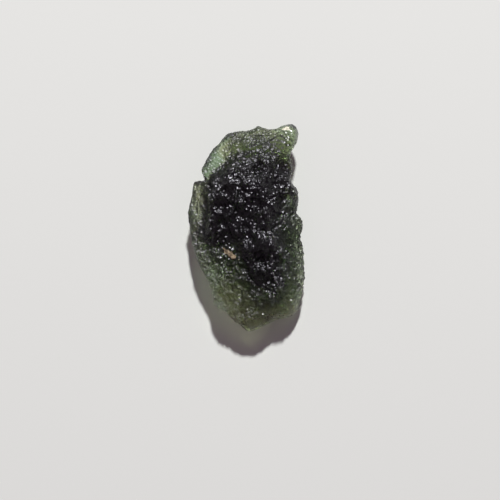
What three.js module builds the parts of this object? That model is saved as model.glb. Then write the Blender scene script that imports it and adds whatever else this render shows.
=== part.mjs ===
// A moldavite: one natural piece of green impact glass, lying flat on its own underside.
//
// Millimetres, +Z up, length along +Y. The origin is on the resting face, under the middle of the
// outline. The stone is a plate with a blunt ragged edge that swells into a thick hump along its
// middle, and its whole surface is etched into bowls with sharp crests between them.
//
// The surface is a finely divided octahedron. Its belt becomes the outline, and the rings above and
// below the belt become smaller ovals. Their height comes from the plate and its humps. Bowls,
// furrows and lumps are then pushed in along the surface's normals, and the lowest part is worn
// flat.

import * as THREE from "three";
import { ImprovedNoise } from "three/addons/math/ImprovedNoise.js";
import { mergeVertices } from "three/addons/utils/BufferGeometryUtils.js";

// Driving dimensions of the finished stone
const WIDTH = 17.0; // along X
const LENGTH = 30.0; // along Y
const THICKNESS = 9.1; // along Z, standing on the resting face
const WEAR = 1.1; // thickness lost where the underside is worn flat

// Widest edge seen from above, anticlockwise from +X, drawn at a length of 30 and a width of 17
const OUTLINE = [
  [8.15, 0.2],
  [8.15, 1.1],
  [7.8, 1.65],
  [7.25, 1.9],
  [7.3, 2.7],
  [7.5, 4.5],
  [7.1, 5.8],
  [6.65, 6.2],
  [6.4, 7.1],
  [6.7, 8.4],
  [6.4, 10.1],
  [6.5, 11.0],
  [7.05, 11.75],
  [7.5, 13.3],
  [7.3, 14.3],
  [6.9, 14.75],
  [6.4, 15.0],
  [4.9, 14.65],
  [3.4, 14.15],
  [2.1, 14.5],
  [1.5, 14.65],
  [0.8, 14.1],
  [-1.2, 13.9],
  [-2.8, 13.5],
  [-3.3, 13.1],
  [-4.0, 12.1],
  [-4.9, 11.4],
  [-5.3, 10.7],
  [-6.1, 9.35],
  [-6.6, 8.0],
  [-6.2, 7.7],
  [-6.0, 7.3],
  [-6.0, 6.85],
  [-7.5, 6.7],
  [-7.8, 6.1],
  [-7.95, 5.1],
  [-8.35, 3.7],
  [-8.5, 2.2],
  [-8.45, 1.0],
  [-8.15, -1.2],
  [-7.7, -3.3],
  [-7.4, -4.4],
  [-6.5, -6.3],
  [-5.8, -7.4],
  [-5.6, -7.8],
  [-5.15, -9.6],
  [-4.6, -11.2],
  [-4.0, -11.85],
  [-3.1, -12.3],
  [-2.0, -13.3],
  [-1.0, -14.15],
  [-0.4, -14.8],
  [0.25, -15.0],
  [1.2, -14.75],
  [3.0, -13.9],
  [4.3, -13.3],
  [6.4, -12.85],
  [7.2, -12.2],
  [7.65, -11.2],
  [7.9, -10.2],
  [8.15, -9.0],
  [8.4, -8.0],
  [8.5, -6.8],
  [8.35, -4.6],
  [8.45, -3.9],
  [8.3, -2.6],
  [7.85, -1.75],
  [8.0, -0.8],
];

// The edge at angles in degrees anticlockwise from +X: height above the resting face, and the
// thickness above and below that
const EDGE = [
  { at: 0, height: 3.5, above: 1.7, below: 1.7 },
  { at: 45, height: 3.6, above: 2.3, below: 2.2 },
  { at: 63, height: 4.3, above: 1.8, below: 1.8 },
  { at: 80, height: 3.9, above: 2.3, below: 2.3 },
  { at: 92, height: 4.1, above: 2.0, below: 2.0 },
  { at: 103, height: 4.8, above: 1.3, below: 1.3 },
  { at: 122, height: 4.9, above: 1.2, below: 1.2 },
  { at: 140, height: 5.1, above: 1.0, below: 1.0 },
  { at: 160, height: 4.5, above: 1.0, below: 1.0 },
  { at: 195, height: 4.5, above: 1.1, below: 1.1 },
  { at: 218, height: 4.3, above: 1.2, below: 1.2 },
  { at: 240, height: 4.3, above: 1.3, below: 0.9 },
  { at: 252, height: 4.5, above: 1.3, below: 0.8 },
  { at: 264, height: 4.0, above: 1.6, below: 0.6 },
  { at: 272, height: 3.2, above: 1.7, below: 0.5 },
  { at: 290, height: 2.8, above: 1.7, below: 0.4 },
  { at: 306, height: 2.9, above: 1.9, below: 1.0 },
  { at: 325, height: 3.2, above: 1.7, below: 1.6 },
];
const MIDDLE = { height: 4.2, above: 1.3, below: 1.3 }; // the same for the plate under the hump
// Ups and downs of the edge itself: wavelength and half height
const RAGGED_EDGE = [
  { wavelength: 3.4, height: 0.4, seed: 2.2 },
  { wavelength: 1.8, height: 0.2, seed: 6.1 },
];

// Oval that the outline's own shape fades to on the way in
const OVAL = { halfWidth: 8.2, halfLength: 13.8 };

// Humps on the plate: centre, half sizes, turn in degrees anticlockwise, height above the plate
const UPPER_HUMPS = [
  { x: 0.3, y: 3.4, rx: 7.2, ry: 8.4, turn: -22, height: 4.9 }, // core
  { x: 3.0, y: -4.4, rx: 6.2, ry: 9.4, turn: 10, height: 4.2 }, // lower core
  { x: -2.0, y: -6.4, rx: 6.2, ry: 8.2, turn: 20, height: 3.4 }, // facet
  { x: 1.9, y: 10.9, rx: 6.2, ry: 4.1, turn: 4, height: 1.8 }, // top band
  { x: 6.2, y: 13.0, rx: 1.9, ry: 2.6, turn: -12, height: 0.6 }, // horn
];
const UNDER_HUMPS = [
  { x: 0.3, y: 1.4, rx: 7.9, ry: 9.8, turn: -3, height: 3.9 }, // belly
  { x: 3.0, y: -4.6, rx: 5.4, ry: 6.6, turn: 14, height: 3.0 }, // lower belly
  { x: 1.4, y: 10.2, rx: 6.0, ry: 4.4, turn: 5, height: 1.2 }, // upper belly
];
const DOME_POWER = 1.9; // 2 gives a hump round sides, more gives it a flatter top
const JOIN_POWER = 3.5; // how sharp the crease is where two humps meet
const WANDER = { wavelength: 7.0, reach: 0.6, seeds: [5.1, 8.6] }; // of the humps' feet

// Flat breaks across the humps: a place, the height left above the plate there, the direction that
// the break faces in degrees, and how much it falls with each millimetre that way
const UPPER_BREAKS = [
  { x: 3.6, y: -3.0, height: 3.7, faces: -8, fall: 0.8 }, // right flank
  { x: -4.4, y: 1.0, height: 4.3, faces: 172, fall: 1.1 }, // left shoulder
  { x: 0.0, y: 8.2, height: 4.0, faces: 104, fall: 0.85 }, // top shoulder
  { x: 2.4, y: -8.0, height: 3.8, faces: -84, fall: 0.62 }, // lower slope
  { x: -4.0, y: -6.0, height: 1.1, faces: -150, fall: 0.3 }, // lower left slope
  { x: 1.0, y: 2.0, height: 4.4, faces: -30, fall: 0.06 }, // crown
];
const UNDER_BREAKS = [
  { x: -3.6, y: -1.0, height: 3.4, faces: 200, fall: 0.75 }, // under left
  { x: 4.0, y: 2.0, height: 3.3, faces: 8, fall: 1.2 }, // under right
  { x: 1.2, y: -7.0, height: 3.1, faces: -80, fall: 0.45 }, // under front
  { x: 0.3, y: 0.2, height: 3.2, faces: 0, fall: 0 }, // resting face
];

// Etched bowls, from broad to small: spacing of their centres, half width and depth
const BOWL_SETS = [
  { spacing: 3.3, radius: 2.7, depth: 0.65, seed: 11 },
  { spacing: 1.7, radius: 1.45, depth: 0.42, seed: 57 },
];
const BOWL_SIZES = { least: 0.75, most: 1.25 }; // shares of its set's half width and depth

// Furrows along the glass's flow layers, which stand nearly upright and run along the stone
const FURROWS = {
  normal: new THREE.Vector3(0.86, 0.38, 0.34).normalize(),
  spacing: 1.9,
  depth: 0.22,
  wander: { wavelength: 5.5, reach: 0.9, seed: 3.9 },
};

// Lumps between the bowls: wavelength and half height
const LUMPS = [
  { wavelength: 5.2, height: 0.35, seed: 7.7 },
  { wavelength: 2.1, height: 0.22, seed: 8.7 },
];

// Share of the thickness above or below the edge that the relief takes away at most
const DEEPEST = 0.4;
const UPRIGHT_PUSH = 0.5; // how far the relief is pushed upright instead of along the normal

// Thin smooth places along the edge: centre, half sizes, and the shares of the relief and of the
// humps that they keep
const LEDGES = [
  { x: -4.6, y: 10.2, rx: 2.1, ry: 4.0, turn: -42, relief: 0.2, humps: 0 }, // pale lobe
  { x: -7.4, y: 3.0, rx: 1.7, ry: 5.0, turn: 3, relief: 0.3, humps: 0 }, // left flange
  { x: 1.4, y: -15.7, rx: 8.2, ry: 4.0, turn: 14, relief: 0.15, humps: 0.25 }, // tip
  { x: 6.3, y: 13.2, rx: 1.8, ry: 2.4, turn: -12, relief: 0.4, humps: 1 }, // horn
];
const LEDGE_BORDER = { inner: 0.7, outer: 1.25 }; // shares of its half sizes between which it fades

// How sharply each thing gathers towards the outline, as powers of the share of the way out
const GATHER = { outline: 4, edge: 3, ragged: 10, rounding: 18, sideways: 6, upright: 12 };
const END_CROWDING = 0.25; // how much the rings crowd towards the two ends of the stone

// Fineness of the faceted surface: rings from the middle to the outline, 8 * RINGS^2 triangles
const RINGS = 35;
const CURVE_STEPS = 2000; // that the outline and the oval are measured in
const MERGE_DISTANCE = 1e-5; // within which points of the octahedron are one

// How a seed moves the noise along each axis, and how it and a point's number give a random draw
const SEED_SHIFT = new THREE.Vector3(1, 1.7, 2.3);
const DRAW = { seedStride: 7919, pointStride: 31, sizeStride: 1000 };

const noise = new ImprovedNoise();
const outline = new THREE.CatmullRomCurve3(
  OUTLINE.map(([x, y]) => new THREE.Vector3(x, y, 0)),
  true,
  "centripetal",
);
outline.arcLengthDivisions = CURVE_STEPS;
const oval = new THREE.EllipseCurve(0, 0, OVAL.halfWidth, OVAL.halfLength);
oval.arcLengthDivisions = CURVE_STEPS;

// Noise from about -1 to 1 at a point, with its own wavelength
function wave(point, wavelength, seed) {
  const place = point.clone().divideScalar(wavelength).addScaledVector(SEED_SHIFT, seed);
  return 2 * noise.noise(...place.toArray());
}

// An edge between two others
function blendEdge(start, end, share) {
  return {
    height: THREE.MathUtils.lerp(start.height, end.height, share),
    above: THREE.MathUtils.lerp(start.above, end.above, share),
    below: THREE.MathUtils.lerp(start.below, end.below, share),
  };
}

// The edge at an angle, eased between the places given above
function edgeAt(angle) {
  const degrees = THREE.MathUtils.euclideanModulo(THREE.MathUtils.radToDeg(angle), 360);
  const start = EDGE.findLast(({ at }) => at <= degrees);
  const end = EDGE[EDGE.indexOf(start) + 1] ?? { ...EDGE[0], at: 360 };
  const share = THREE.MathUtils.smoothstep(degrees, start.at, end.at);
  return blendEdge(start, end, share);
}

// How far a place lies from the middle of a turned ellipse, 1 being its rim
function reachIn({ x, y, rx, ry, turn }, place) {
  const offset = new THREE.Vector2(place.x - x, place.y - y);
  offset.rotateAround(new THREE.Vector2(), -THREE.MathUtils.degToRad(turn));
  return Math.hypot(offset.x / rx, offset.y / ry);
}

// The share of the relief or of the humps that the ledges leave at a place
function shareKept(kind, place) {
  const shares = LEDGES.map((ledge) => {
    const { inner, outer } = LEDGE_BORDER;
    const outside = THREE.MathUtils.smoothstep(reachIn(ledge, place), inner, outer);
    return THREE.MathUtils.lerp(ledge[kind], 1, outside);
  });
  return Math.min(...shares);
}

// How far a set of humps stands off the plate at a place in plan, less what the breaks took off
function humpHeight(humps, breaks, place) {
  const [east, north] = WANDER.seeds.map((seed) => WANDER.reach * wave(place, WANDER.wavelength, seed));
  const moved = new THREE.Vector2(place.x + east, place.y + north);
  const domes = humps.map((hump) => {
    return Math.max(hump.height * (1 - reachIn(hump, moved) ** DOME_POWER), 0);
  });
  const joined = domes.reduce((sum, dome) => sum + dome ** JOIN_POWER, 0) ** (1 / JOIN_POWER);
  const planes = breaks.map(({ x, y, height, faces, fall }) => {
    const turn = THREE.MathUtils.degToRad(faces);
    return height - fall * ((moved.x - x) * Math.cos(turn) + (moved.y - y) * Math.sin(turn));
  });
  return Math.max(Math.min(joined, ...planes), 0) * shareKept("humps", place);
}

// A point of the smooth stone, and its distance above or below the middle of the plate: "along"
// goes round the outline from 0 to 1, "out" goes from the middle at 0 to the outline at 1, and
// "side" is 1 above and -1 below
function smoothPoint(along, out, side) {
  const rim = outline.getPointAt(along);
  const inner = oval.getPointAt(along);
  const point = new THREE.Vector3(inner.x, inner.y, 0).lerp(rim, out ** GATHER.outline);
  const lengthwise = out * (1 + END_CROWDING * (1 - out ** 2));
  point.multiply(new THREE.Vector3(out, lengthwise, 1));
  const edge = edgeAt(Math.atan2(rim.y, rim.x));
  for (const { wavelength, height, seed } of RAGGED_EDGE) {
    edge.height += height * wave(rim, wavelength, seed) * out ** GATHER.ragged;
  }
  const plate = blendEdge(MIDDLE, edge, out ** GATHER.edge);
  const room =
    side > 0
      ? plate.above + humpHeight(UPPER_HUMPS, UPPER_BREAKS, point)
      : plate.below + humpHeight(UNDER_HUMPS, UNDER_BREAKS, point);
  const rounding = Math.sqrt(1 - out ** GATHER.rounding);
  point.z = plate.height + side * rounding * room;
  return { point, room };
}

// Where a point of the divided octahedron lies: its share of the way round and of the way out
function ringPlace({ x, y, z }) {
  const belt = Math.abs(x) + Math.abs(y);
  const share = belt > 0 ? Math.abs(y) / belt : 0;
  const halfTurn = x >= 0 ? share : 2 - share;
  return {
    along: (y >= 0 ? halfTurn : 4 - halfTurn) / 4,
    out: belt / (belt + Math.abs(z)),
    side: Math.sign(z),
  };
}

// The smooth stone as one closed surface, and its points with their places
function makeSmoothStone() {
  const octahedron = new THREE.OctahedronGeometry(1, RINGS - 1);
  octahedron.deleteAttribute("normal");
  octahedron.deleteAttribute("uv");
  const geometry = mergeVertices(octahedron, MERGE_DISTANCE);
  const position = geometry.getAttribute("position");
  const points = Array.from({ length: position.count }, (_, i) => {
    const { along, out, side } = ringPlace(new THREE.Vector3().fromBufferAttribute(position, i));
    return { out, side, ...smoothPoint(along, out, side) };
  });
  points.forEach(({ point }, i) => position.setXYZ(i, ...point.toArray()));
  geometry.computeVertexNormals();
  return { geometry, points };
}

// Bowl centres scattered over the surface, none closer to another than the set's spacing
function scatterBowls(points, { spacing, radius, depth, seed }) {
  const { seedStride, pointStride, sizeStride } = DRAW;
  const { least, most } = BOWL_SIZES;
  const order = points
    .map(({ point }, i) => {
      return { point, draw: THREE.MathUtils.seededRandom(seed * seedStride + i * pointStride) };
    })
    .sort((a, b) => a.draw - b.draw);
  const bowls = [];
  for (const { point, draw } of order) {
    if (bowls.some((bowl) => bowl.centre.distanceTo(point) < spacing)) continue;
    const size = THREE.MathUtils.lerp(least, most, (draw * sizeStride) % 1);
    bowls.push({ centre: point.clone(), radius: radius * size, depth: depth * size });
  }
  return bowls;
}

// How far the surface stands out at a point: lumps, less furrows and the deepest bowl of each set
function reliefAt(point, bowlSets) {
  let height = 0;
  for (const lump of LUMPS) height += lump.height * wave(point, lump.wavelength, lump.seed);
  const { wavelength, reach: sway, seed } = FURROWS.wander;
  const across = point.dot(FURROWS.normal) + sway * wave(point, wavelength, seed);
  const layer = across / FURROWS.spacing;
  height -= FURROWS.depth * (1 - Math.abs(Math.sin(Math.PI * layer)));
  for (const bowls of bowlSets) {
    let deepest = 0;
    for (const bowl of bowls) {
      const reach = point.distanceTo(bowl.centre) / bowl.radius;
      if (reach < 1) deepest = Math.max(deepest, bowl.depth * (1 - reach ** 2));
    }
    height -= deepest;
  }
  return height * shareKept("relief", point);
}

// Pushes the relief in along the normals. It fades out towards the outline, first sideways, so that
// the outline keeps its own shape.
function etch({ geometry, points }) {
  const bowlSets = BOWL_SETS.map((set) => scatterBowls(points, set));
  const position = geometry.getAttribute("position");
  const normal = geometry.getAttribute("normal");
  points.forEach(({ point, room, out, side }, i) => {
    const push = new THREE.Vector3().fromBufferAttribute(normal, i);
    const relief = Math.max(reliefAt(point, bowlSets), -DEEPEST * room);
    push.lerp(new THREE.Vector3(0, 0, side), UPRIGHT_PUSH).setLength(relief);
    const sideways = 1 - out ** GATHER.sideways;
    const upright = 1 - out ** GATHER.upright;
    const moved = point.clone().add(push.multiply(new THREE.Vector3(sideways, sideways, upright)));
    position.setXYZ(i, ...moved.toArray());
  });
}

// Scales and moves the stone to its driving dimensions, with its lowest part worn flat
function settle(geometry) {
  geometry.computeBoundingBox();
  const size = geometry.boundingBox.getSize(new THREE.Vector3());
  geometry.scale(WIDTH / size.x, LENGTH / size.y, (THICKNESS + WEAR) / size.z);
  geometry.computeBoundingBox();
  const middle = geometry.boundingBox.getCenter(new THREE.Vector3());
  geometry.translate(-middle.x, -middle.y, -geometry.boundingBox.min.z - WEAR);
  const position = geometry.getAttribute("position");
  for (let i = 0; i < position.count; i++) position.setZ(i, Math.max(position.getZ(i), 0));
}

function makeStone() {
  const stone = makeSmoothStone();
  etch(stone);
  settle(stone.geometry);
  stone.geometry.computeVertexNormals();
  return stone.geometry;
}

const glass = new THREE.MeshStandardMaterial({ color: 0x2f3b26, roughness: 0.25, metalness: 0 });
const stone = new THREE.Mesh(makeStone(), glass);
stone.name = "moldavite";

const part = new THREE.Group();
part.add(stone);

export default part;
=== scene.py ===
"""A moldavite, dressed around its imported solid: natural green impact glass, etched all over.

The stone is one piece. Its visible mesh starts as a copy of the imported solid, is divided finely and
has the small etching carved into it that the solid leaves out: pits, furrows and sharp crests.
Lengths are in metres unless a name or comment says millimetres. Angles are in degrees, and a turn
or heading seen from above runs anticlockwise from +X.
"""

import logging
import math
from dataclasses import dataclass
from enum import Enum

import bmesh
import bpy
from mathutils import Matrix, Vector, noise


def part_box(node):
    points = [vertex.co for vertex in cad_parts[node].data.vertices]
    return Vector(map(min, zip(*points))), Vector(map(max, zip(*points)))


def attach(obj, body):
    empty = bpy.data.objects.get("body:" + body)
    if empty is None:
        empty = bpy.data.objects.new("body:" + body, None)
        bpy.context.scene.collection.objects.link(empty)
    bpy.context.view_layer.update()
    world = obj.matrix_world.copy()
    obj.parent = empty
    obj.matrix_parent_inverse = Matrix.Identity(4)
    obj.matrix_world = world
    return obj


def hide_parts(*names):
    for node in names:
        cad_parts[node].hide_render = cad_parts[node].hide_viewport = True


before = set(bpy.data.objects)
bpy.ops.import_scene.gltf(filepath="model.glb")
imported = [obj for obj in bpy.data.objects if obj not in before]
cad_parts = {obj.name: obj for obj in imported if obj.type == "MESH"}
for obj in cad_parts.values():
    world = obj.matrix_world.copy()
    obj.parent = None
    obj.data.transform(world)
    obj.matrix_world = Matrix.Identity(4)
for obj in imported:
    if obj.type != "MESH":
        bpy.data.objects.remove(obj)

LOG = logging.getLogger("moldavite")
MM = 0.001
UP = 2  # number of the axis that points up
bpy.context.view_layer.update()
SENSOR_WIDTH = 36.0  # of the camera, in millimetres, as its focal length is

# The effect of an oval fades out between these distances, where 1 is the oval's own rim
FADE_FROM = 0.7
FADE_TO = 1.2
# How a pattern's seed shifts it, so that no two patterns fall together
SEED_SHIFT = Vector((1.0, -1.0, 2.0))


def linear(hex_colour: str, alpha: float = 1.0) -> tuple[float, float, float, float]:
    """Turns an sRGB hex colour to linear.

    Args:
        hex_colour: Six hex digits, such as "e2e2e0".
        alpha: The fourth value that sockets take.

    Returns:
        Linear red, green and blue, and the alpha.
    """
    channels = (int(hex_colour[i : i + 2], 16) / 255 for i in (0, 2, 4))
    red, green, blue = (
        value / 12.92 if value <= 0.04045 else ((value + 0.055) / 1.055) ** 2.4
        for value in channels
    )
    return red, green, blue, alpha


def smooth_step(low: float, high: float, value: float) -> float:
    """Eases from 0 to 1 as a value goes from low to high.

    Args:
        low: Up to here the result is 0.
        high: From here on the result is 1.
        value: The value.

    Returns:
        A share from 0 to 1.
    """
    share = min(max((value - low) / (high - low), 0.0), 1.0)
    return share * share * (3 - 2 * share)


def add_node(
    tree: bpy.types.NodeTree,
    kind: str,
    settings: dict[str | int, object] | None = None,
    links: dict[str | int, bpy.types.NodeSocket] | None = None,
) -> bpy.types.Node:
    """Adds a node, sets it up and links its inputs.

    Args:
        tree: The node tree that it goes in.
        kind: The node's type name in Blender.
        settings: Values by name: an input's default value where the node has such an input, and a
            property of the node otherwise.
        links: The output that feeds each input, by the input's name or number.

    Returns:
        The new node.
    """
    node = tree.nodes.new(kind)
    for name, value in (settings or {}).items():
        if isinstance(name, int) or name in node.inputs:
            node.inputs[name].default_value = value
        else:
            setattr(node, name, value)
    for name, output in (links or {}).items():
        tree.links.new(output, node.inputs[name])
    return node


def new_material(name: str) -> bpy.types.Material:
    """Makes a node material with nothing in it yet.

    Args:
        name: The material's name.

    Returns:
        The material.
    """
    material = bpy.data.materials.new(name)
    material.use_nodes = True
    material.node_tree.nodes.clear()
    return material


class Layer(Enum):
    """Values that the stone's mesh holds at each of its points, for its glass to read."""

    ETCHING = "etching"
    # Depth of the glass's tint, which at its deep end is painted shade
    SMOKE = "smoke"


class Slot(Enum):
    """The stone's material slots, in order."""

    GLASS = 0
    OCHRE = 1
    SILT = 2


@dataclass(frozen=True)
class ImpactGlass:
    """Bottle-green silica glass, etched by acid soil, as a moldavite is.

    The glass lets green through and takes red and blue away with depth, so thin edges are pale
    green and the thick middle is near black. A violet-black painted shade in its tint darkens the
    thick middle further, for the shade under it and the violet sky that it reflects; lesser depths
    of the same tint give olive, partly the glass's own colour and partly painted shade. The etched
    skin is satin, with a fine tooth that breaks a light into many small glints, and scuffed crests
    are matt and paler.

    Attributes:
        ior: Refractive index of moldavite glass.
        clearest: The colour that absorption would leave at full strength.
        density: How fast the glass takes light away, per metre.
        lustre: Tint of what the skin reflects, faintly violet.
        leafy: Tint of light that goes through the glass where it is coolest and greenest.
        clear: The same for clear glass.
        olive: The same for the bands between clear glass and the painted shade.
        painted_shade: The same for the painted shade in the thick middle: violet-black, for the
        shade there and the violet sky that it reflects.
        leafy_at: Depth of tint at which the glass is leafy.
        clear_at: Depth of tint at which it is clear.
        olive_at: Depth of tint at which it is olive.
        painted_shade_at: Depth of tint at which the painted shade is full.
        band_mm: Size of the bands.
        band_swirl: How far the bands are stirred into each other.
        banding: How far the bands shift the depth of tint.
        smooth: Roughness where the skin is smooth.
        etched: Roughness where it is etched.
        patch_mm: Size of the patches that differ a little in roughness.
        patch_grain: Share that each finer level of those patches keeps.
        patchiness: How far the patches differ.
        detail: Number of finer levels in the bands and patches.
        tooth_mm: Size of the finest etching. The real tooth is 0.1 to 0.3 mm, which would blur
            away, so it is drawn as coarse as its glints need to show one by one.
        tooth_depth_mm: Depth of the finest etching.
        smooth_tooth: Share of that depth that the smooth skin has.
    """

    ior: float = 1.49
    clearest: str = "a2be86"
    density: float = 425.0
    lustre: str = "f8f6ff"
    leafy: str = "cddbcb"
    clear: str = "fbfff8"
    olive: str = "ebe4cb"
    painted_shade: str = "54465c"
    leafy_at: float = 0.0
    clear_at: float = 0.12
    olive_at: float = 0.35
    painted_shade_at: float = 1.0
    band_mm: float = 1.6
    band_swirl: float = 0.6
    banding: float = 0.35
    smooth: float = 0.16
    etched: float = 0.28
    patch_mm: float = 1.2
    patch_grain: float = 0.6
    patchiness: float = 0.05
    detail: float = 3.0
    tooth_mm: float = 0.50
    tooth_depth_mm: float = 0.21
    smooth_tooth: float = 0.2

    def material(self) -> bpy.types.Material:
        """Makes the glass: a see-through skin around a body that absorbs.

        Returns:
            The material.
        """
        glass = new_material("etched moldavite glass")
        tree = glass.node_tree
        place = add_node(tree, "ShaderNodeTexCoord").outputs["Object"]
        etching = add_node(
            tree, "ShaderNodeAttribute", {"attribute_name": Layer.ETCHING.value}
        ).outputs["Fac"]
        skin = add_node(
            tree,
            "ShaderNodeBsdfPrincipled",
            {
                "IOR": self.ior,
                "Specular Tint": linear(self.lustre),
                "Transmission Weight": 1.0,
            },
            {
                "Base Color": self.tint(tree, place),
                "Roughness": self.roughness(tree, place, etching),
                "Normal": self.relief(tree, place, etching),
            },
        )
        body = add_node(
            tree,
            "ShaderNodeVolumeAbsorption",
            {"Color": linear(self.clearest), "Density": self.density},
        )
        add_node(
            tree,
            "ShaderNodeOutputMaterial",
            links={"Surface": skin.outputs["BSDF"], "Volume": body.outputs["Volume"]},
        )
        return glass

    def tint(
        self, tree: bpy.types.NodeTree, place: bpy.types.NodeSocket
    ) -> bpy.types.NodeSocket:
        """Tints the glass from leafy through clear and olive to a violet-black painted shade, with
        swirled bands between the tints.

        Args:
            tree: The glass's node tree.
            place: Output that gives the place on the stone.

        Returns:
            Output that gives the tint.
        """
        # Depth of tint from the mesh: the glass's colour, and painted shade where it is deep
        smoke = add_node(tree, "ShaderNodeAttribute", {"attribute_name": Layer.SMOKE.value})
        bands = add_node(
            tree,
            "ShaderNodeTexNoise",
            {
                "Scale": 1 / (self.band_mm * MM),
                "Detail": self.detail,
                "Distortion": self.band_swirl,
            },
            {"Vector": place},
        )
        depth = add_node(
            tree,
            "ShaderNodeMath",
            {"operation": "MULTIPLY_ADD", 1: self.banding},
            {0: bands.outputs["Fac"], 2: smoke.outputs["Fac"]},
        )
        tint = add_node(tree, "ShaderNodeValToRGB", links={"Fac": depth.outputs["Value"]})
        stops = tint.color_ramp.elements
        first, last = stops
        first.position, first.color = self.clear_at, linear(self.clear)
        last.position, last.color = self.painted_shade_at, linear(self.painted_shade)
        stops.new(self.olive_at).color = linear(self.olive)
        stops.new(self.leafy_at).color = linear(self.leafy)
        return tint.outputs["Color"]

    def roughness(
        self,
        tree: bpy.types.NodeTree,
        place: bpy.types.NodeSocket,
        etching: bpy.types.NodeSocket,
    ) -> bpy.types.NodeSocket:
        """Makes the skin rougher where it is etched, in slightly uneven patches.

        Args:
            tree: The glass's node tree.
            place: Output that gives the place on the stone.
            etching: Output that says how etched the skin is.

        Returns:
            Output that gives the roughness.
        """
        patches = add_node(
            tree,
            "ShaderNodeTexNoise",
            {
                "Scale": 1 / (self.patch_mm * MM),
                "Detail": self.detail,
                "Roughness": self.patch_grain,
            },
            {"Vector": place},
        )
        worn = add_node(
            tree,
            "ShaderNodeMapRange",
            {"clamp": False, "To Min": self.smooth, "To Max": self.etched},
            {"Value": etching},
        )
        uneven = add_node(
            tree,
            "ShaderNodeMath",
            {"operation": "MULTIPLY_ADD", 1: self.patchiness},
            {0: patches.outputs["Fac"], 2: worn.outputs["Result"]},
        )
        return uneven.outputs["Value"]

    def relief(
        self,
        tree: bpy.types.NodeTree,
        place: bpy.types.NodeSocket,
        etching: bpy.types.NodeSocket,
    ) -> bpy.types.NodeSocket:
        """Gives the skin its tooth, which is finer than the carved pits.

        Args:
            tree: The glass's node tree.
            place: Output that gives the place on the stone.
            etching: Output that says how etched the skin is.

        Returns:
            Output that gives the normal.
        """
        tooth = add_node(
            tree,
            "ShaderNodeTexVoronoi",
            {"Scale": 1 / (self.tooth_mm * MM)},
            {"Vector": place},
        )
        strength = add_node(
            tree, "ShaderNodeMapRange", {"To Min": self.smooth_tooth}, {"Value": etching}
        )
        bump = add_node(
            tree,
            "ShaderNodeBump",
            {"Distance": self.tooth_depth_mm * MM},
            {"Height": tooth.outputs["Distance"], "Strength": strength.outputs["Result"]},
        )
        return bump.outputs["Normal"]


@dataclass(frozen=True)
class OpaquePatch:
    """A dull, opaque, mottled patch on the stone: ochre clay left in a hollow, and a pale cream patch
    on the horn.

    It is dull, opaque and mottled beside the glass, so it reads as dirt and not as a chip.

    Attributes:
        name: The material's name.
        pale: The drier colour.
        dark: The damper colour.
        grain_mm: Size of its mottling.
        detail: Number of finer levels in the mottling.
        dark_to: Share of the mottling up to which the earth is damp.
        pale_from: Share of the mottling from which it is dry.
        relief_mm: Height of its grains.
        relief_strength: How much of that height shows.
        roughness: Roughness of the earth.
    """

    name: str
    pale: str
    dark: str
    grain_mm: float = 0.35
    detail: float = 3.0
    dark_to: float = 0.35
    pale_from: float = 0.65
    relief_mm: float = 0.04
    relief_strength: float = 0.6
    roughness: float = 0.85

    def material(self) -> bpy.types.Material:
        """Makes the earth.

        Returns:
            The material.
        """
        earth = new_material(self.name)
        tree = earth.node_tree
        place = add_node(tree, "ShaderNodeTexCoord").outputs["Object"]
        mottle = add_node(
            tree,
            "ShaderNodeTexNoise",
            {"Scale": 1 / (self.grain_mm * MM), "Detail": self.detail},
            {"Vector": place},
        )
        colours = add_node(tree, "ShaderNodeValToRGB", links={"Fac": mottle.outputs["Fac"]})
        first, last = colours.color_ramp.elements
        first.position, first.color = self.dark_to, linear(self.dark)
        last.position, last.color = self.pale_from, linear(self.pale)
        bump = add_node(
            tree,
            "ShaderNodeBump",
            {"Strength": self.relief_strength, "Distance": self.relief_mm * MM},
            {"Height": mottle.outputs["Fac"]},
        )
        skin = add_node(
            tree,
            "ShaderNodeBsdfPrincipled",
            {"Roughness": self.roughness},
            {"Base Color": colours.outputs["Color"], "Normal": bump.outputs["Normal"]},
        )
        add_node(tree, "ShaderNodeOutputMaterial", links={"Surface": skin.outputs["BSDF"]})
        return earth


@dataclass(frozen=True)
class DrawingPaper:
    """Uncoated drawing paper for the floor.

    It is matt and even, so shadows and the glass's own colour show on it without any gloss.

    Attributes:
        colour: The paper's colour.
        roughness: Its roughness.
        gloss: How much of a plain surface's reflection it keeps.
        fibre_mm: Size of its tooth. Real fibres are thinner and would not show, so it is drawn
            coarser.
        fibre_depth_mm: Depth of its tooth.
        fibre_strength: How much of that depth shows.
        detail: Number of finer levels in the tooth.
    """

    colour: str = "bec0bc"
    roughness: float = 0.9
    gloss: float = 0.2
    fibre_mm: float = 0.8
    fibre_depth_mm: float = 0.02
    fibre_strength: float = 0.1
    detail: float = 2.0

    def material(self) -> bpy.types.Material:
        """Makes the paper.

        Returns:
            The material.
        """
        paper = new_material("uncoated drawing paper")
        tree = paper.node_tree
        place = add_node(tree, "ShaderNodeTexCoord").outputs["Object"]
        fibres = add_node(
            tree,
            "ShaderNodeTexNoise",
            {"Scale": 1 / (self.fibre_mm * MM), "Detail": self.detail},
            {"Vector": place},
        )
        bump = add_node(
            tree,
            "ShaderNodeBump",
            {"Strength": self.fibre_strength, "Distance": self.fibre_depth_mm * MM},
            {"Height": fibres.outputs["Fac"]},
        )
        skin = add_node(
            tree,
            "ShaderNodeBsdfPrincipled",
            {
                "Base Color": linear(self.colour),
                "Roughness": self.roughness,
                "Specular IOR Level": self.gloss,
            },
            {"Normal": bump.outputs["Normal"]},
        )
        add_node(tree, "ShaderNodeOutputMaterial", links={"Surface": skin.outputs["BSDF"]})
        return paper


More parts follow.
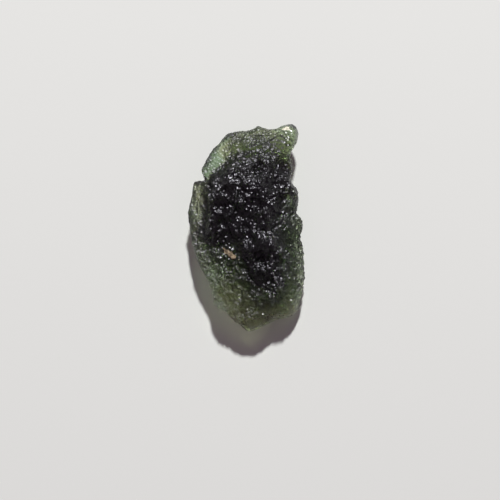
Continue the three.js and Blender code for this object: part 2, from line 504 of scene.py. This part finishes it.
@dataclass(frozen=True)
class Oval:
    """A turned oval seen from above, in millimetres.

    Attributes:
        x: Where its middle is along X.
        y: Where its middle is along Y.
        half_width: Half its size along X before the turn.
        half_length: Half its size along Y before the turn.
        turn: How far it is turned.
    """

    x: float
    y: float
    half_width: float
    half_length: float
    turn: float = 0.0

    def reach(self, point: Vector) -> float:
        """Says how far out a point lies.

        Args:
            point: The point, in millimetres.

        Returns:
            0 in the middle, 1 on the rim and more outside it.
        """
        turn = math.radians(self.turn)
        east, north = point.x - self.x, point.y - self.y
        along = east * math.cos(turn) + north * math.sin(turn)
        across = north * math.cos(turn) - east * math.sin(turn)
        return math.hypot(along / self.half_width, across / self.half_length)

    def share(self, point: Vector) -> float:
        """Says how much an effect of this oval acts at a point, from 1 inside to 0 outside."""
        return 1 - smooth_step(FADE_FROM, FADE_TO, self.reach(point))


# Parts of the stone, each with how strongly something acts there
Zones = tuple[tuple[Oval, float], ...]


@dataclass(frozen=True)
class Pits:
    """Etched pits that meet in sharp crests, in millimetres.

    Attributes:
        width: Usual distance between two pits.
        depth: From a crest to the bottom of a pit.
        seed: Shifts the pattern, so that no two sets fall together.
        rim: Distance from a pit's middle to its crest, as a share of the width.
    """

    width: float
    depth: float
    seed: float
    rim: float = 0.62

    def height(self, point: Vector) -> float:
        """Says how far the pits stand off the surface at a point.

        Args:
            point: The point, in millimetres.

        Returns:
            The height in millimetres, 0 on a crest and below 0 in a pit.
        """
        place = point / self.width + self.seed * SEED_SHIFT
        nearest = noise.voronoi(place, distance_metric="DISTANCE")[0][0]
        return -self.depth * max(1 - (nearest / self.rim) ** 2, 0.0)


@dataclass(frozen=True)
class Furrows:
    """Fine furrows that run one way over a part of the stone, in millimetres.

    Attributes:
        over: The part of the stone.
        heading: Direction that they run in.
        width: From one furrow to the next.
        length: How long a furrow runs.
        depth: Their depth.
        narrowness: How narrow they are for their spacing. At more than 1 the ground between
            them stands up.
    """

    over: Oval
    heading: float
    width: float
    length: float
    depth: float
    narrowness: float = 2.2

    def height(self, point: Vector) -> float:
        """Says how far the furrows stand off the surface at a point.

        Args:
            point: The point, in millimetres.

        Returns:
            The height in millimetres, below 0 in a furrow.
        """
        share = self.over.share(point)
        if share <= 0:
            return 0.0
        heading = math.radians(self.heading)
        along = point.x * math.cos(heading) + point.y * math.sin(heading)
        across = point.y * math.cos(heading) - point.x * math.sin(heading)
        place = Vector((along / self.length, across / self.width, point.z / self.length))
        return -self.depth * share * (1 - abs(noise.noise(place)) * self.narrowness)


@dataclass(frozen=True)
class Crest:
    """A raised line on the upper side, in millimetres.

    Attributes:
        route: Points that it runs through, seen from above.
        half_width: From its ridge to its foot.
        rise: Height of its ridge.
    """

    route: tuple[tuple[float, float], ...]
    half_width: float
    rise: float

    def height(self, point: Vector) -> float:
        """Says how far the crest stands off the surface at a point.

        Args:
            point: The point, in millimetres.

        Returns:
            The height in millimetres, 0 away from the crest.
        """
        place = Vector((point.x, point.y))
        nearest = min(
            (place - self.closest(Vector(start), Vector(end), place)).length
            for start, end in zip(self.route, self.route[1:])
        )
        return self.rise * max(1 - nearest / self.half_width, 0.0)

    @staticmethod
    def closest(start: Vector, end: Vector, place: Vector) -> Vector:
        """Finds the point of a straight stretch that is closest to a place.

        Args:
            start: Where the stretch starts.
            end: Where it ends.
            place: The place.

        Returns:
            The closest point.
        """
        run = end - start
        share = min(max((place - start).dot(run) / run.length_squared, 0.0), 1.0)
        return start + run * share


@dataclass(frozen=True)
class Moldavite:
    """The stone: a fine copy of its solid with the small etching carved in.

    Attributes:
        node: Name of the solid that it stands for.
        merge_mm: Distance within which the solid's loose corners are joined.
        cuts: Cuts across each edge of the solid, so 3 turns a triangle into 16.
        smoothing: Passes that take the facets off before the carving.
        smoothing_share: How far a pass moves each point towards its neighbours' middle.
        pits: Sets of pits from broad to fine.
        furrows: Parts of the stone with fine furrows.
        crests: Raised lines.
        smooth_parts: Where the glass is smoother, with the share of the etching that it keeps.
        rim_etching: Share of the etching that the stone's steep rim keeps at the least.
        rim_slope: Upward share of the normal at which the rim starts, and at which it ends.
        deep_parts: Where the pits are deeper, with how much deeper.
        tinted_and_shaded_parts: Where the glass is tinted darker, with how far: the core goes to
            violet-black as painted shade, and the top band, tip, lower body and tail to olive and
            deeper, partly the glass's own colour and partly painted shade.
        tint_and_shade_edge: Distances between which such a part fades, where 1 is its oval's rim.
        tint_and_shade_wisps: Sizes of the wisps at that edge in millimetres, with how far they reach.
        leafy_part: Where the glass is leafy.
        leafy_share: How leafy it is there.
        matt_parts: Where the skin is more matt than etching makes it, with how much more.
        crest_scuff: How much more matt a crest's ridge is.
        glass: The stone's glass.
        ochre: Reddish earth.
        ochre_patches: Where it is left.
        pale_patch: An opaque pale cream patch on the horn, drawn like the earth.
        pale_patch_places: Where it is.
        patch_edge_mm: Size of the bays in a patch's border.
        patch_edge: How far they reach, where 1 is the size of its oval.
    """

    node: str = "moldavite"
    merge_mm: float = 0.001
    cuts: int = 3
    smoothing: int = 3
    smoothing_share: float = 0.5
    pits: tuple[Pits, ...] = (
        Pits(width=1.05, depth=0.16, seed=3.1),
        Pits(width=0.60, depth=0.14, seed=7.7),
        Pits(width=0.36, depth=0.10, seed=5.2),
    )
    furrows: tuple[Furrows, ...] = (
        # along the flange
        Furrows(Oval(-7.1, 2.0, 1.6, 5.2, 3), heading=88, width=0.5, length=3.0, depth=0.10),
        # up the right flank
        Furrows(Oval(6.2, -3.8, 2.2, 6.8, 2), heading=38, width=0.45, length=1.8, depth=0.10),
        # along the facet at the lower left
        Furrows(Oval(-3.0, -11.2, 1.4, 3.4, 40), heading=-50, width=0.55, length=3.5, depth=0.22),
        # down to the tip
        Furrows(Oval(1.6, -13.4, 5.0, 2.2, 14), heading=-35, width=0.5, length=2.5, depth=0.12),
    )
    crests: tuple[Crest, ...] = (
        # curved ridge on the core
        Crest(((-1.5, 5.0), (-1.6, 3.2), (-2.1, 2.1), (-3.2, 1.5)), half_width=0.28, rise=0.34),
        # ridge that ends at the notch on the left
        Crest(((-4.3, 7.3), (-4.5, 6.6), (-4.9, 6.2)), half_width=0.25, rise=0.30),
        # edge between the flange and the core
        Crest(((-6.6, 3.6), (-6.0, 2.6), (-5.4, 1.4), (-5.3, 0.4)), half_width=0.25, rise=0.20),
        # both edges of the facet
        Crest(((-4.7, -9.0), (-3.6, -11.3), (-1.6, -13.5)), half_width=0.30, rise=0.30),
        Crest(((-3.6, -9.1), (-2.6, -11.0), (-1.3, -13.0)), half_width=0.30, rise=0.30),
        # ridges below the ochre hollow
        Crest(((-2.1, -5.2), (-1.0, -6.4), (-0.5, -7.3), (-0.7, -9.0)), half_width=0.28, rise=0.28),
        Crest(((-1.0, -5.0), (1.3, -6.3)), half_width=0.25, rise=0.22),
        Crest(((-4.4, -7.0), (-3.1, -7.6)), half_width=0.25, rise=0.22),
    )
    smooth_parts: Zones = (
        (Oval(-4.6, 10.2, 2.0, 4.0, -42), 0.15),  # lobe
        (Oval(-7.4, 3.0, 1.6, 5.0, 3), 0.25),  # flange
        (Oval(1.4, -15.4, 7.4, 2.7, 14), 0.35),  # tip
        (Oval(6.3, 13.2, 1.8, 2.3, -12), 0.35),  # horn
        (Oval(1.0, 12.4, 6.0, 2.4, 4), 0.6),  # top band
    )
    rim_etching: float = 0.55
    rim_slope: tuple[float, float] = (0.2, 0.7)
    deep_parts: Zones = (
        (Oval(1.6, -8.2, 6.8, 5.2, 10), 1.2),  # lower body
        (Oval(6.0, -4.0, 2.8, 8.4, 2), 0.6),  # right flank
    )
    # Painted shade: share 1 turns the glass violet-black where the thick core lies in shade, and the
    # smaller shares darken it to olive, partly the glass's own colour and partly painted shade
    tinted_and_shaded_parts: Zones = (
        (Oval(-0.4, 3.7, 6.0, 5.7, -8), 1.0),  # core
        (Oval(2.9, 6.9, 4.2, 3.6), 1.0),  # its upper right
        (Oval(-3.2, -0.2, 3.8, 3.0), 1.0),  # its lower left
        (Oval(1.9, -3.8, 2.7, 6.6, 20), 1.0),  # its tail
        (Oval(1.2, 11.4, 5.0, 2.6, 4), 0.50),  # top band
        (Oval(1.8, -13.0, 6.0, 3.0, 14), 0.24),  # tip
        (Oval(1.0, -8.4, 5.2, 4.4, 14), 0.26),  # lower body
        (Oval(2.6, -9.2, 2.2, 3.0, 20), 0.55),  # end of the tail
    )
    tint_and_shade_edge: tuple[float, float] = (0.75, 1.15)
    tint_and_shade_wisps: tuple[tuple[float, float], ...] = ((2.2, 0.35), (0.8, 0.15))
    leafy_part: Oval = Oval(-4.6, 10.2, 2.2, 4.2, -42)  # lobe
    leafy_share: float = 0.25
    matt_parts: Zones = (
        (Oval(6.3, -3.4, 2.4, 7.6, 2), 0.6),  # right flank
        (Oval(-5.4, -5.2, 1.6, 3.6, 20), 1.2),  # lower left edge
        (Oval(-7.4, 3.0, 1.6, 5.2, 3), 1.8),  # flange
        (Oval(-4.6, 10.2, 2.0, 4.0, -42), 1.6),  # lobe
        (Oval(1.2, 12.0, 5.2, 2.8, 4), 1.4),  # top band
    )
    crest_scuff: float = 2.0
    glass: ImpactGlass = ImpactGlass()
    ochre: OpaquePatch = OpaquePatch("ochre clay in a hollow", pale="85765f", dark="5a4d3c")
    ochre_patches: tuple[Oval, ...] = (Oval(-2.4, -3.82, 1.1, 0.38, -37),)
    # An opaque pale cream patch on the top of the horn
    pale_patch: OpaquePatch = OpaquePatch("pale cream patch on the horn", pale="cfcbbb", dark="9c9a88")
    pale_patch_places: tuple[Oval, ...] = (Oval(5.6, 14.2, 0.6, 0.25, 8),)
    patch_edge_mm: float = 0.4
    patch_edge: float = 0.5

    def build(self) -> bpy.types.Object:
        """Makes the stone and ties it to the frame.

        Returns:
            The finished piece.
        """
        mesh = self.carved_mesh()
        self.dress(mesh)
        stone = bpy.data.objects.new("stone", mesh)
        bpy.context.scene.collection.objects.link(stone)
        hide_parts(self.node)
        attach(stone, "root")
        return stone

    def carved_mesh(self) -> bpy.types.Mesh:
        """Copies the solid, divides it and carves the etching.

        Returns:
            The mesh, in metres, in the frame's own place, with its layers.
        """
        shape = bmesh.new()
        shape.from_mesh(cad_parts[self.node].data)
        bmesh.ops.remove_doubles(shape, verts=shape.verts, dist=self.merge_mm * MM)
        bmesh.ops.subdivide_edges(
            shape, edges=shape.edges, cuts=self.cuts, use_grid_fill=True, smooth=0.0
        )
        for _ in range(self.smoothing):
            bmesh.ops.smooth_vert(
                shape,
                verts=shape.verts,
                factor=self.smoothing_share,
                use_axis_x=True,
                use_axis_y=True,
                use_axis_z=True,
            )
        shape.normal_update()
        etching = [
            self.etching(vert.co / MM, vert.normal) + self.scuffing(vert.co / MM, vert.normal)
            for vert in shape.verts
        ]
        moves = [self.carving(vert.co / MM, vert.normal) * MM for vert in shape.verts]
        for vert, move in zip(shape.verts, moves):
            vert.co += vert.normal * move
        self.fit_box(shape)
        mesh = bpy.data.meshes.new("stone")
        shape.to_mesh(mesh)
        shape.free()
        mesh.shade_smooth()
        # Depth of tint at each point, which carries the painted shade of the thick middle
        smoke = [self.smoke(vert.co / MM) for vert in mesh.vertices]
        for layer, values in ((Layer.ETCHING, etching), (Layer.SMOKE, smoke)):
            mesh.attributes.new(layer.value, "FLOAT", "POINT").data.foreach_set("value", values)
        return mesh

    def fit_box(self, shape: bmesh.types.BMesh) -> None:
        """Scales the carved shape back to the solid's own box, and rests it on the floor again.

        Args:
            shape: The carved shape.
        """
        low, high = (Vector(corner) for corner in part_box(self.node))
        for axis, (bottom, top) in enumerate(zip(low, high)):
            places = [vert.co[axis] for vert in shape.verts]
            first = bottom if axis == UP else min(places)
            scale = (top - bottom) / (max(places) - first)
            for vert in shape.verts:
                vert.co[axis] = max(bottom + (vert.co[axis] - first) * scale, bottom)

    def etching(self, point: Vector, normal: Vector) -> float:
        """Says how etched the skin is at a point.

        Args:
            point: The point, in millimetres.
            normal: The surface's normal there.

        Returns:
            0 where it is smooth, 1 where it is as etched as most of the stone.
        """
        kept = min(1 - (1 - kept) * oval.share(point) for oval, kept in self.smooth_parts)
        return max(kept, self.rim_etching * (1 - smooth_step(*self.rim_slope, abs(normal.z))))

    def scuffing(self, point: Vector, normal: Vector) -> float:
        """Says how matt the skin is at a point beyond its etching.

        Args:
            point: The point, in millimetres.
            normal: The surface's normal there.

        Returns:
            0 where it is not scuffed, and up to about 2 on a scuffed crest.
        """
        matt = max(extra * oval.share(point) for oval, extra in self.matt_parts)
        if normal.z > 0:
            ridge = max(crest.height(point) / crest.rise for crest in self.crests)
            matt += ridge * self.crest_scuff
        return matt

    def smoke(self, point: Vector) -> float:
        """Says how deep the glass's tint is near a point, with painted shade at the deep end.

        Args:
            point: The point, in millimetres.

        Returns:
            1 in the middle, with full painted shade, 0 in clear glass and below 0 where it is leafy.
        """
        wisps = sum(reach * noise.noise(point / size) for size, reach in self.tint_and_shade_wisps)
        smoke = max(
            share * (1 - smooth_step(*self.tint_and_shade_edge, oval.reach(point) + wisps))
            for oval, share in self.tinted_and_shaded_parts
        )
        return smoke - self.leafy_share * self.leafy_part.share(point)

    def carving(self, point: Vector, normal: Vector) -> float:
        """Says how far the surface moves out along its normal at a point.

        Args:
            point: The point, in millimetres.
            normal: The surface's normal there.

        Returns:
            The move, in millimetres, below 0 where it is carved in.
        """
        height = self.etching(point, normal) * sum(pits.height(point) for pits in self.pits)
        height *= max(1 + extra * oval.share(point) for oval, extra in self.deep_parts)
        height += sum(furrows.height(point) for furrows in self.furrows)
        if normal.z > 0:
            height += max(crest.height(point) for crest in self.crests)
        return height

    def dress(self, mesh: bpy.types.Mesh) -> None:
        """Gives the stone its glass, the ochre earth in its hollow and the pale patch on the horn.

        Args:
            mesh: The stone's mesh.
        """
        finishes = {Slot.GLASS: self.glass, Slot.OCHRE: self.ochre, Slot.SILT: self.pale_patch}
        for slot in Slot:
            mesh.materials.append(finishes[slot].material())
        for face in mesh.polygons:
            face.material_index = self.slot_at(face.center / MM, face.normal).value

    def slot_at(self, point: Vector, normal: Vector) -> Slot:
        """Chooses the material of a face: a patch has a ragged border and lies on top only.

        Args:
            point: The face's middle, in millimetres.
            normal: The face's normal.

        Returns:
            The slot.
        """
        bays = self.patch_edge * noise.noise(point / self.patch_edge_mm)
        if normal.z > 0:
            if any(oval.reach(point) + bays < 1 for oval in self.ochre_patches):
                return Slot.OCHRE
            if any(oval.reach(point) + bays < 1 for oval in self.pale_patch_places):
                return Slot.SILT
        return Slot.GLASS


@dataclass(frozen=True)
class Studio:
    """A pale paper floor, one soft key light, a dim sky and the camera.

    Attributes:
        paper: What the floor is made of.
        floor_size: Side of the floor.
        key_distance: From the stone to the key light.
        key_spread: Angle that the key light fills, seen from the stone.
        key_height: Angle of the key light above the floor.
        key_turn: Turn of the key light from +Y towards +X.
        key_power: Power of the key light in watts.
        sky: Colour of the dim light from all round.
        backdrop: Colour that the camera sees past the floor.
        aim: Point under the middle of the view.
        view_width: Width of the view at its level.
        view_level: Height at which the view has that width, the middle of the stone's rim.
        camera_height: From the floor to the camera.
        nearest: Distance from the camera at which the view starts.
    """

    paper: DrawingPaper = DrawingPaper()
    floor_size: float = 3.0
    key_distance: float = 1.2
    key_spread: float = 4.0
    key_height: float = 45.0
    key_turn: float = 4.0
    key_power: float = 25.3
    sky: str = "7c6c79"
    backdrop: str = "e2e2e0"
    aim: tuple[float, float] = (0.48 * MM, -3.22 * MM)
    view_width: float = 72.3 * MM
    view_level: float = 4.0 * MM
    camera_height: float = 0.35
    nearest: float = 0.01

    def build(self) -> None:
        """Sets up the floor, the lights, the sky and the camera."""
        self.lay_floor()
        self.hang_key()
        self.light_sky()
        self.place_camera()
        bpy.context.scene.view_settings.view_transform = "Standard"

    def lay_floor(self) -> None:
        """Lays the paper floor."""
        shape = bmesh.new()
        bmesh.ops.create_grid(shape, x_segments=1, y_segments=1, size=self.floor_size / 2)
        mesh = bpy.data.meshes.new("paper_floor")
        shape.to_mesh(mesh)
        shape.free()
        mesh.materials.append(self.paper.material())
        floor = bpy.data.objects.new("paper_floor", mesh)
        bpy.context.scene.collection.objects.link(floor)

    def hang_key(self) -> None:
        """Hangs the key light, a disc that faces the stone."""
        height, turn = math.radians(self.key_height), math.radians(self.key_turn)
        towards = Vector(
            (
                math.sin(turn) * math.cos(height),
                math.cos(turn) * math.cos(height),
                math.sin(height),
            )
        )
        light = bpy.data.lights.new("key", "AREA")
        light.shape = "DISK"
        light.size = 2 * self.key_distance * math.tan(math.radians(self.key_spread / 2))
        light.energy = self.key_power
        key = bpy.data.objects.new("key", light)
        key.location = towards * self.key_distance
        key.rotation_euler = towards.to_track_quat("Z", "Y").to_euler()
        bpy.context.scene.collection.objects.link(key)

    def light_sky(self) -> None:
        """Makes the dim sky, with a pale backdrop where the camera sees past the floor."""
        world = bpy.data.worlds.new("studio")
        world.use_nodes = True
        tree = world.node_tree
        tree.nodes.clear()
        backdrop = add_node(tree, "ShaderNodeBackground", {"Color": linear(self.backdrop)})
        dim = add_node(tree, "ShaderNodeBackground", {"Color": linear(self.sky)})
        rays = add_node(tree, "ShaderNodeLightPath")
        either = add_node(
            tree,
            "ShaderNodeMixShader",
            links={
                0: rays.outputs["Is Camera Ray"],
                1: dim.outputs["Background"],
                2: backdrop.outputs["Background"],
            },
        )
        add_node(tree, "ShaderNodeOutputWorld", links={"Surface": either.outputs["Shader"]})
        bpy.context.scene.world = world

    def place_camera(self) -> None:
        """Places the camera straight above, with the top of its frame towards +Y."""
        lens = bpy.data.cameras.new("camera")
        lens.sensor_width = SENSOR_WIDTH
        lens.lens = SENSOR_WIDTH * (self.camera_height - self.view_level) / self.view_width
        lens.clip_start = self.nearest
        camera = bpy.data.objects.new("camera", lens)
        camera.location = (*self.aim, self.camera_height)
        bpy.context.scene.collection.objects.link(camera)
        bpy.context.scene.camera = camera


def main() -> None:
    """Builds the studio and the stone."""
    logging.basicConfig(level=logging.INFO, format="%(message)s")
    Studio().build()
    LOG.info("studio: floor, key light, sky and camera")
    stone = Moldavite().build()
    LOG.info("%s: %d faces", stone.name, len(stone.data.polygons))


if __name__ == "__main__":
    main()
